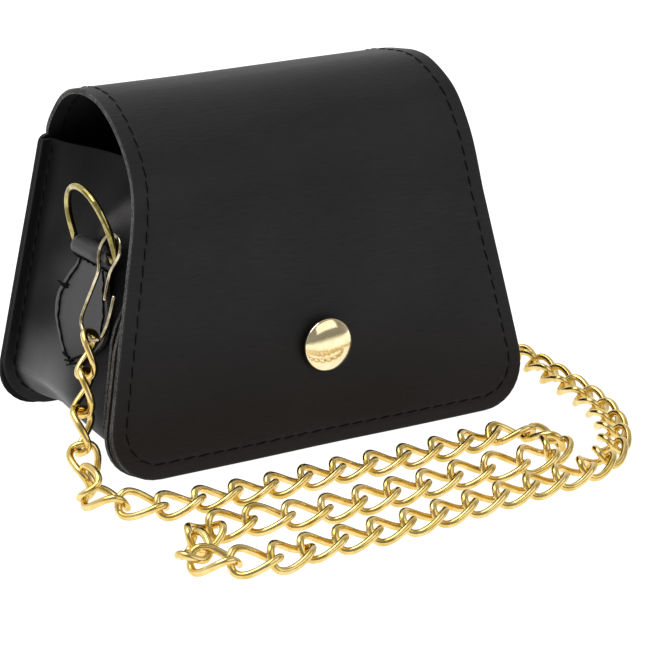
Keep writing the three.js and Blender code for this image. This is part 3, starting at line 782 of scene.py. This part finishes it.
def satin_finish():
    """Softer, lighter black leather with a satin face and fine even grain."""
    material, where = new_finish("leather_tab")
    pores = where.stretched(2.2).mottle(3.0, 0.6)
    cloudy = where.stretched(0.12).mottle(2.0, 0.5)
    rubbed = where.drawn("edge_mm").spread(0.2, 1.3, 1.0, 0.0)
    tint = (cloudy * 0.6 + pores * 0.4).spread(0.3, 0.7)
    base = tint.mixed((0.017, 0.016, 0.0165, 1), (0.030, 0.028, 0.029, 1))
    base = (rubbed * (0.4 + 0.6 * pores)).mixed(base, (0.10, 0.096, 0.092, 1))
    gloss = 0.36 + 0.12 * cloudy + 0.10 * pores + 0.2 * rubbed
    close_finish(where, {"Base Color": base, "Roughness": gloss, "Specular IOR Level": 0.40},
                 0.05 * pores + 0.05 * cloudy - 0.12 * rubbed)
    return material


tab_leather = satin_finish()

tab_rows = []  # v, w, back edge, front edge of the outer skin
leaf_steps = 6
for v, back_edge, front_edge in reversed(smooth_rows(leaf, leaf_steps)):
    if v < -5.2:
        tab_rows.append((v, clearance + tab_thick, back_edge, front_edge))
# the leather dips under its stitched row and then rises into the roll
for v, rise, back_edge, front_edge in (
        (-4.9, -0.1, 9.2, -8.8), (-4.3, -0.35, 8.8, -10.2),
        (-3.7, -0.1, 8.4, -11.4), (-3.1, 0.5, 8.0, -12.3)):
    tab_rows.append((v, clearance + tab_thick + rise, back_edge, front_edge))
for degrees in range(16, 275, 12):
    a = math.radians(degrees)
    front_end = -12.8 + 2.4 * smooth(degrees, 110, 165)
    tab_rows.append((-roll_outer * math.cos(a), roll_lift + roll_outer * math.sin(a), 7.6, front_end))

tab_columns = 16
tab_laid = []
for v, w, back_edge, front_edge in tab_rows:
    row = []
    for j in range(tab_columns + 1):
        part = j / tab_columns
        part -= 0.10 * math.sin(2 * math.pi * part) / math.pi
        u = back_edge + (front_edge - back_edge) * part
        # the roll is thinner at its front end
        narrow = 1 - 0.36 * smooth(-u, 6.0, 9.5) if v > -2.95 else 1
        place = on_left_side(u, v * narrow, roll_lift + (w - roll_lift) * narrow + leaf_lift(u, v))
        row.append((place, min(abs(u - back_edge), abs(u - front_edge), abs(v - leaf[-1][0]))))
    tab_laid.append(row)
tab_skin = laid_grid(("edge_mm",), tab_laid)


def both_sides(skin):
    """A left-hand skin and its turned copy for the right side of the bag."""
    other = skin.copy()
    bmesh.ops.transform(other, matrix=Matrix.Scale(-1, 4, (1, 0, 0)), verts=other.verts)
    bmesh.ops.reverse_faces(other, faces=other.faces)
    return ("left", skin), ("right", other)


for side, skin in both_sides(tab_skin):
    tab = new_piece("tab_leather_" + side, skin, tab_leather, cut_edge, backing)
    thicken(tab, tab_ply, gusset_edge_round)
    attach(tab, "root")
    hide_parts("tab_" + side)


def wire_shape(name, paths, radius, closed, sides):
    """Round wire along smooth paths of points, as a mesh."""
    curve = bpy.data.curves.new(name, "CURVE")
    curve.dimensions = "3D"
    curve.bevel_depth = radius
    curve.bevel_resolution = sides // 2 - 2
    curve.use_fill_caps = True
    curve.twist_mode = "MINIMUM"
    for path in paths:
        spline = curve.splines.new("POLY")
        spline.points.add(len(path) - 1)
        for point, place in zip(spline.points, path):
            point.co = (*place, 1)
        spline.use_cyclic_u = closed
    holder = bpy.data.objects.new(name, curve)
    bpy.context.collection.objects.link(holder)
    bpy.context.view_layer.update()
    mesh = bpy.data.meshes.new_from_object(holder)
    wire = bmesh.new()
    wire.from_mesh(mesh)
    bpy.data.objects.remove(holder)
    bpy.data.curves.remove(curve)
    bpy.data.meshes.remove(mesh)
    bmesh.ops.remove_doubles(wire, verts=wire.verts, dist=0.0005)
    bmesh.ops.recalc_face_normals(wire, faces=wire.faces)
    return wire


def leaf_edge(v):
    """Back and front edge of the leaf at v, read off its outline."""
    for upper, lower in zip(leaf, leaf[1:]):
        if v >= lower[0]:
            t = (upper[0] - v) / (upper[0] - lower[0])
            return upper[1] + (lower[1] - upper[1]) * t, upper[2] + (lower[2] - upper[2]) * t
    return leaf[-1][1], leaf[-1][2]


def on_leaf(u, v, lift):
    """Point so far above the outer face of the leaf."""
    return on_left_side(u, v, clearance + tab_thick + leaf_lift(u, v) + lift)


def leaf_row(edge, inset, first, last, waver, seed):
    """Row of coarse thread along one edge of the leaf: edge 0 is the back one."""
    row = []
    for i in range(46):
        v = first + (last - first) * i / 45
        u = leaf_edge(v)[edge] + inset + waver * noise.noise(Vector((v * 0.5, seed, 0.9)))
        row.append(on_leaf(u, v, 0.18 + 0.12 * math.sin(i * 1.4)))
    return row


# rows round the leaf and under the roll, then single stitches over the edge of the leaf
coarse_thread = 0.3  # radius
tab_seams = [leaf_row(0, -1.9, -5.0, -35.2, 0.35, 0.3), leaf_row(1, 1.5, -35.2, -5.2, 0.3, 2.3)]
tab_seams.append([on_leaf(9.4 - 18.6 * i / 24, -4.6 + 0.15 * math.sin(i * 1.3),
                              0.1 + 0.14 * math.sin(i * 1.6)) for i in range(25)])
for v, out, down in ((-14.6, 3.6, 0.5), (-15.2, 2.4, -0.3), (-33.6, 1.3, -0.6), (-34.8, 1.6, 0.9)):
    edge_u = leaf_edge(v)[0]
    tab_seams.append([
        on_leaf(edge_u - 3.4, v + down * 0.4, 0.2), on_leaf(edge_u - 1.4, v + down * 0.1, 0.5),
        on_leaf(edge_u + 0.3, v - down * 0.3, 0.3), on_leaf(edge_u + out, v - down * 0.7, -0.7)])
for crossing in (((8.0, -4.6, 0.2), (9.8, -4.3, 0.5), (11.6, -4.0, 0.5), (13.0, -3.7, 0.2)),
                 ((2.6, -34.6, 0.3), (0.2, -33.2, 0.5), (-2.4, -31.8, 0.5), (-4.2, -31.0, 0.2)),
                 ((3.4, -36.2, 0.3), (0.6, -35.2, 0.4), (-1.6, -34.0, 0.3), (-3.0, -33.4, 0.1))):
    tab_seams.append([on_leaf(*place) for place in crossing])
tab_thread_skin = wire_shape("tab_thread", tab_seams, coarse_thread, closed=False, sides=6)
for side, skin in both_sides(tab_thread_skin):
    tab_thread = new_piece("tab_thread_" + side, skin, black_thread)
    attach(tab_thread, "root")

# -------------------------------------------------------------------- D-rings
# Closed rings of brass-coloured wire, each with its straight bar in the roll of a tab
# and its bow leaning a little out from the gusset.

ring_wire = 1.1  # radius
ring_half = 13.5
ring_height = 21.0
ring_straight = 6.0  # straight part of the sides, up to the bow
ring_corner = 1.8
ring_lean = math.radians(14)
ring_y = -4.0


def metal_finish(name, deep, bright, roughness, wear):
    """Plated metal: two tones, slightly uneven polish and fine rub marks."""
    material, where = new_finish(name)
    cloudy = where.stretched(0.25).mottle(2.0, 0.5)
    marks = where.stretched(2.5).mottle(3.0, 0.6)
    tone = (cloudy * 0.7 + marks * 0.3).spread(0.35, 0.65)
    base = tone.mixed((*deep, 1), (*bright, 1))
    gloss = roughness + wear * marks
    close_finish(where, {"Base Color": base, "Metallic": 1.0, "Roughness": gloss}, 0.012 * marks)
    return material


ring_brass = metal_finish("brass_ring", (0.18, 0.147, 0.037), (0.52, 0.44, 0.17), 0.05, 0.04)
ring_outline = []
for i in range(25):
    a = i / 24 * math.pi
    bow = ring_height - ring_straight
    ring_outline.append((ring_half * math.cos(a), ring_straight + bow * math.sin(a)))
for centre, start in ((ring_corner - ring_half, 180), (ring_half - ring_corner, 270)):
    for degrees in range(start, start + 91, 15):
        a = math.radians(degrees)
        ring_outline.append((centre + ring_corner * math.cos(a), ring_corner * (1 + math.sin(a))))
ring_centre = on_left_side(0, 0, roll_lift)
ring_path = []
for u, v in ring_outline:
    ring_path.append(Vector((
        ring_centre.x - v * math.sin(ring_lean), ring_y + u, ring_centre.z + v * math.cos(ring_lean))))
for side, skin in both_sides(wire_shape("ring", [ring_path], ring_wire, closed=True, sides=16)):
    ring = new_piece("d_ring_wire_" + side, skin, ring_brass)
    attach(ring, "root")
    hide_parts("d_ring_" + side)

# ------------------------------------------------------------ spring clips
# Pale gilt wire bent into a long hook that springs shut. Its upper bend hangs on the
# D-ring and its lower bend holds the end link of the chain.

clip_wire = 0.6  # radius
# y and z of the bends, from the end hooked inside to the end that springs past it
clip_bends = [
    (-17.6, 50.2), (-17.3, 54.0), (-17.6, 58.4), (-20.2, 63.0), (-20.5, 65.4), (-19.0, 67.6),
    (-15.4, 68.4), (-11.3, 67.0), (-8.9, 63.4), (-9.2, 60.2), (-10.6, 57.0), (-9.4, 52.4),
    (-7.6, 47.0), (-6.4, 42.6), (-7.6, 39.9), (-11.0, 38.3), (-15.5, 38.0), (-19.6, 39.8),
    (-21.6, 43.5), (-22.3, 48.0), (-22.4, 53.0),
]
clip_top = (-59.3, 68.4)  # x and z
clip_foot = (-67.0, 38.0)
clip_gilt = metal_finish("pale_gilt_wire", (0.21, 0.175, 0.10), (0.68, 0.59, 0.41), 0.04, 0.04)

clip_path = []
for y, z in smooth_rows(clip_bends, 8)[:-1]:
    t = (clip_top[1] - z) / (clip_top[1] - clip_foot[1])
    clip_path.append(Vector((clip_top[0] + (clip_foot[0] - clip_top[0]) * t, y, z)))
for side, skin in both_sides(wire_shape("clip", [clip_path], clip_wire, closed=False, sides=12)):
    clip = new_piece("clip_wire_" + side, skin, clip_gilt)
    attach(clip, "root")
    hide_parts("clip_" + side)

# ---------------------------------------------------------------- ring snap
# Domed cap of pale gilt sheet with a rolled rim on the flap; its steel socket, stud
# and eyelet sit behind it in the flap and the front panel.

snap_x, snap_z = 0.5, 31.0
snap_tilt = math.atan(flap_sheet["lean"])
cap_tilt = 0.25 * snap_tilt  # the cap stands off the flap a little at its top
cap_lift = 0.8  # how far it stands off the flap
cap_shank = -3.2  # end of the shank that goes back to the socket
# radius and height, from the foot of the shank round the rim to the middle of the dome
cap_profile = [
    (0.0, cap_shank), (1.6, cap_shank), (1.6, 0.3), (6.9, 0.3), (7.6, 0.34), (8.05, 0.62), (8.2, 1.05),
    (8.1, 1.5), (7.82, 1.86), (7.4, 2.12), (6.9, 2.42), (6.2, 2.76), (5.4, 3.05), (4.5, 3.31),
    (3.5, 3.53), (2.4, 3.69), (1.2, 3.78), (0.0, 3.8),
]
cap_gilt = metal_finish("pale_gilt_cap", (0.82, 0.68, 0.39), (0.94, 0.81, 0.53), 0.07, 0.05)
cap_skin = bmesh.new()
cap_points = [cap_skin.verts.new((r, 0, h)) for r, h in cap_profile]
cap_lines = [cap_skin.edges.new(pair) for pair in zip(cap_points, cap_points[1:])]
bmesh.ops.spin(cap_skin, geom=cap_points + cap_lines, cent=(0, 0, 0), axis=(0, 0, 1),
               angle=2 * math.pi, steps=64, use_merge=True)
bmesh.ops.remove_doubles(cap_skin, verts=cap_skin.verts, dist=0.001)
bmesh.ops.recalc_face_normals(cap_skin, faces=cap_skin.faces)
cap_place = Matrix.Translation((snap_x, face_y(flap_sheet, snap_z) - cap_lift, snap_z))
cap_turn = Matrix.Rotation(math.pi / 2 - cap_tilt, 4, "X")
bmesh.ops.transform(cap_skin, matrix=cap_place @ cap_turn, verts=cap_skin.verts)
cap = new_piece("snap_cap_dome", cap_skin, cap_gilt)
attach(cap, "root")
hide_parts("snap_cap")

steel = metal_finish("snap_steel", (0.40, 0.40, 0.38), (0.60, 0.60, 0.57), 0.25, 0.15)
for name in ("snap_socket", "snap_stud", "snap_eyelet"):
    for material_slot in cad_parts[name].material_slots:
        material_slot.material = steel

# --------------------------------------------------------------- curb chain
# Twisted curb links of gilt wire, one hooked in the next. It hangs from the left clip,
# lies in three runs before the bag, passes its right side and rises to the right clip.

link_wire = 1.08  # radius
link_pitch = 11.2
link_width = 8.7
link_twist = math.radians(95)
link_square = 2.8  # an oval at 2, squarer above it
link_steps = 44
link_above_floor = 0.02
link_touch = 0.15  # how far the joined links of one stretch sink into each other
link_play = 0.35  # gap between the last link of a stretch and the first of the next
# the stretches of the chain and how many links each has
stretches = [
    ("chain_hanging_left", 3), ("chain_first_turn", 4), ("chain_run_1_left", 5),
    ("chain_run_1_right", 5), ("chain_right_turn", 3), ("chain_run_2_right", 5),
    ("chain_run_2_left", 5), ("chain_left_turn", 4), ("chain_run_3_left", 5),
    ("chain_run_3_right", 5), ("chain_bend_front", 4), ("chain_bend_side", 4),
    ("chain_bend_back", 3), ("chain_hanging_right", 5),
]
# route of the chain: x, y, z on its axis, lean of its broad face, roll about the axis
route = [
    (-67.0, -13.6, 38.9, -90, 20), (-72.0, -19.3, 25.1, -80, 15), (-75.6, -24.4, 17.6, -80, 15),
    (-77.4, -27.0, 14.2, -80, 25), (-78.7, -34.2, 3.7, -68, 125), (-84.5, -46.4, 3.6, 0, -10),
    (-80.6, -50.7, 5.1, 45, 32), (-77.2, -60.8, 3.6, 20, 30), (-60.0, -63.7, 3.6, 0, 0),
    (-38.0, -65.4, 3.6, 0, 0), (-15.0, -64.8, 3.6, 0, 0), (8.0, -65.6, 3.6, 0, 0),
    (30.0, -64.8, 3.6, 0, 0), (43.2, -63.0, 3.7, 35, -10), (51.2, -67.9, 3.9, 5, 15),
    (54.3, -80.0, 3.6, 25, -20), (48.9, -84.8, 3.6, 10, -10), (37.5, -88.2, 3.6, 20, -30),
    (19.3, -85.6, 3.6, -5, -12), (8.0, -86.2, 3.6, 0, -12), (-15.0, -87.4, 3.6, 0, -12),
    (-38.0, -87.8, 3.6, 0, -10), (-63.2, -83.5, 3.8, -10, -25), (-71.2, -89.9, 3.6, 75, -25),
    (-76.7, -90.7, 3.6, -50, -25), (-81.5, -97.7, 3.7, -85, -10), (-75.2, -108.2, 4.9, 70, 35),
    (-65.2, -112.5, 4.8, 60, 35), (-54.3, -109.8, 4.3, -65, 15), (-24.0, -108.2, 3.6, 0, 3),
    (6.0, -105.4, 3.6, 0, 3), (34.0, -102.8, 3.6, 0, 3), (48.0, -100.8, 3.6, 0, 3),
    (62.0, -94.0, 3.6, 0, 0), (73.5, -81.5, 3.6, 0, 0), (81.5, -67.0, 3.6, 0, 0),
    (86.5, -51.0, 3.6, 0, 0), (89.8, -30.0, 3.6, 0, 0), (92.8, -9.8, 3.7, -15, 35),
    (92.0, 2.9, 3.6, 0, 35), (88.2, 13.8, 3.6, 25, -20), (79.5, 9.9, 12.5, 65, 40),
    (72.6, -3.0, 22.8, 90, 0), (67.0, -13.6, 38.9, 90, -20),
]

axis_steps = 24
axis_rows = smooth_rows(route, axis_steps)
axis_walked = distances_along([row[:3] for row in axis_rows])


def axis_at(s):
    """Row of the chain's axis at a distance along it."""
    i, t = step_at(axis_walked, s)
    return [p + (q - p) * t for p, q in zip(axis_rows[i], axis_rows[i + 1])]


def axis_reach(s, chord):
    """How far along the axis lies the point one chord away in a straight line."""
    start = axis_at(s)
    low, high = s + chord, s + 2 * chord
    for _ in range(30):
        mid = (low + high) / 2
        if math.dist(start[:3], axis_at(mid)[:3]) < chord:
            low = mid
        else:
            high = mid
    return low


def link_path(start, end):
    """Centre line of one link: an oval, twisted so that its ends stand crosswise, and
    lifted where it would sink into the floor."""
    a, b = Vector(start[:3]), Vector(end[:3])
    along = (b - a).normalized()
    lean = math.radians((start[3] + end[3]) / 2)
    roll = math.radians((start[4] + end[4]) / 2)
    face = Vector((math.sin(lean), 0, math.cos(lean)))
    face = (face - along * face.dot(along)).normalized()
    up = face * math.cos(roll) + along.cross(face) * math.sin(roll)
    side = along.cross(up)
    half_length = link_pitch / 2 + link_wire
    points = []
    for i in range(link_steps):
        angle = i / link_steps * 2 * math.pi
        c, s = math.cos(angle), math.sin(angle)
        x = half_length * math.copysign(abs(c) ** (2 / link_square), c)
        y = link_width / 2 * math.copysign(abs(s) ** (2 / link_square), s)
        twist = link_twist / 2 * x / half_length
        points.append((a + b) / 2 + along * x + (side * math.cos(twist) + up * math.sin(twist)) * y)
    lift = max(0.0, link_above_floor - (min(p.z for p in points) - link_wire))
    return [p + Vector((0, 0, lift)) for p in points]


chain_gilt = metal_finish("yellow_gilt_chain", (0.66, 0.47, 0.12), (0.86, 0.66, 0.28), 0.13, 0.10)
walked = 0.0
for stretch, count in stretches:
    paths = []
    for n in range(count):
        end = axis_reach(walked, link_pitch)
        paths.append(link_path(axis_at(walked), axis_at(end)))
        walked = end + (link_touch if n + 1 < count else -link_play)
    links_skin = wire_shape(stretch, paths, link_wire, closed=True, sides=12)
    links = new_piece(stretch + "_links", links_skin, chain_gilt)
    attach(links, "root")
    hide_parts(stretch)

# --------------------------------------------------------- floor and studio
# Wide white floor, a sky that is seen white and lights most from behind, one soft light
# overhead and one before the bag like a window, and the camera.

floor_half = 6000
floor_gap = 0.0004
floor_skin = bmesh.new()
bmesh.ops.create_grid(floor_skin, x_segments=1, y_segments=1, size=floor_half)
floor = new_piece("floor", floor_skin)
floor.data.transform(Matrix.Translation((0, 0, -floor_gap - sole_dip * 0.001)))
floor_white, where = new_finish("floor_white")
dust = where.stretched(0.01).mottle(2.0, 0.5)
floor_tone = dust.mixed((0.25, 0.25, 0.25, 1), (0.27, 0.27, 0.27, 1))
floor_glow = where.part(1).spread(-0.60, -0.20).mixed((0.40, 0.40, 0.40, 1), (1.0, 1.0, 1.0, 1))
close_finish(where, {"Base Color": floor_tone, "Roughness": 0.7, "Specular IOR Level": 0.2,
                     "Emission Color": floor_glow, "Emission Strength": 1.0})
floor.data.materials.append(floor_white)

bpy.context.scene.view_settings.view_transform = "Standard"
world = bpy.data.worlds.new("studio")
bpy.context.scene.world = world
world.use_nodes = True
sky_tree = world.node_tree
sky_tree.nodes.clear()
sky_way = Value(sky_tree, sky_tree.nodes.new("ShaderNodeTexCoord").outputs["Generated"])
sky_light = sky_way.part(1).spread(-0.6, 0.8, 0.30, 0.90)
seen = sky_way.node("ShaderNodeLightPath")
sky_power = sky_light + (1.0 - sky_light) * seen  # full white where it is seen
backdrop = sky_way.node("ShaderNodeBackground", {}, {"Color": (1, 1, 1, 1), "Strength": sky_power})
sky_output = sky_tree.nodes.new("ShaderNodeOutputWorld")
sky_tree.links.new(backdrop.socket, sky_output.inputs["Surface"])


def soft_light(name, place, aim, size, power):
    """A broad lamp at a place, turned to its aim."""
    lamp = bpy.data.lights.new(name, "AREA")
    lamp.shape = "RECTANGLE"
    lamp.size, lamp.size_y = size
    lamp.energy = power
    light = bpy.data.objects.new(name, lamp)
    light.location = place
    light.rotation_euler = (Vector(aim) - Vector(place)).to_track_quat("-Z", "Y").to_euler()
    bpy.context.collection.objects.link(light)


middle = to_frame @ Vector((0, 0, 50))
soft_light("overhead", (middle.x - 0.45, middle.y + 0.15, 1.0), middle, (0.8, 0.8), 6.5)
soft_light("front_window", (middle.x + 0.35, middle.y - 0.9, 0.72), middle, (1.2, 0.8), 3.1)

# the camera stands off to the left of the front and a little above, with a long lens
aim = to_frame @ Vector((21.7, 0, 23.6))
azimuth, elevation = math.radians(-32.0), math.radians(18.05)
camera_distance = 0.7704
camera_roll = Quaternion((0, 0, 1), math.radians(0.485))
away = Vector((math.sin(azimuth) * math.cos(elevation),
               -math.cos(azimuth) * math.cos(elevation),
               math.sin(elevation)))
camera = bpy.data.objects.new("camera", bpy.data.cameras.new("camera"))
camera.data.lens = 135.85
camera.data.sensor_width = 36
camera.location = aim + away * camera_distance
camera.rotation_mode = "QUATERNION"
camera.rotation_quaternion = (-away).to_track_quat("-Z", "Y") @ camera_roll
camera.data.clip_start = 0.05
bpy.context.collection.objects.link(camera)
bpy.context.scene.camera = camera
